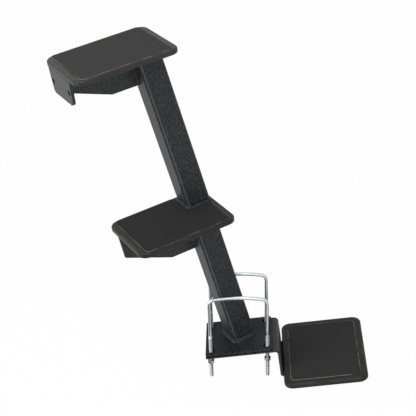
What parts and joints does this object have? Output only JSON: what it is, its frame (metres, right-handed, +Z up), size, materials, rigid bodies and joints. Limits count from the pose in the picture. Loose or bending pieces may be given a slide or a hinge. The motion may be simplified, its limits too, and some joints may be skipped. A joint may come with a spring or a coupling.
{
  "type": "boat trailer step ladder",
  "caption": "Clamp-on boarding step for a boat trailer tongue: leaning square post with gusseted pressed treads, a low side tread on a bent strap and U-bolts in a slotted base plate.",
  "frame": {"origin": "middle of the U-bolt pattern, on the underside of the bent strap, where the trailer tongue meets it", "axes": "+X towards the low side tread, +Z up along gravity as mounted, +Y across the clamp plate away from the picture's viewer"},
  "size_m": [0.5164, 0.3023, 0.779],
  "materials": {
    "black_powder_coat": "fine textured black powder coat on steel",
    "painted_weld": "rippled weld bead under the same powder coat",
    "grip_sheet": "matte gritty anti-slip sheet",
    "zinc_plate": "pale zinc plate on steel rod, threaded legs"
  },
  "bodies": {
    "root": {"base_plate": "black_powder_coat", "lower_strap": "black_powder_coat", "lower_tread": "black_powder_coat", "middle_tread": "black_powder_coat", "top_tread": "black_powder_coat", "post_tube": "black_powder_coat", "middle_gusset": "black_powder_coat", "top_gusset": "black_powder_coat", "top_end_plate": "black_powder_coat", "post_foot_weld": "painted_weld", "middle_post_weld": "painted_weld", "middle_gusset_weld": "painted_weld", "top_gusset_weld": "painted_weld", "top_end_plate_weld": "painted_weld", "top_post_weld": "painted_weld", "lower_tread_grip": "grip_sheet", "middle_tread_grip": "grip_sheet", "top_tread_grip": "grip_sheet", "front_u_bolt": "zinc_plate", "rear_u_bolt": "zinc_plate", "u_bolt_nuts": "zinc_plate"}
  },
  "joints": []
}
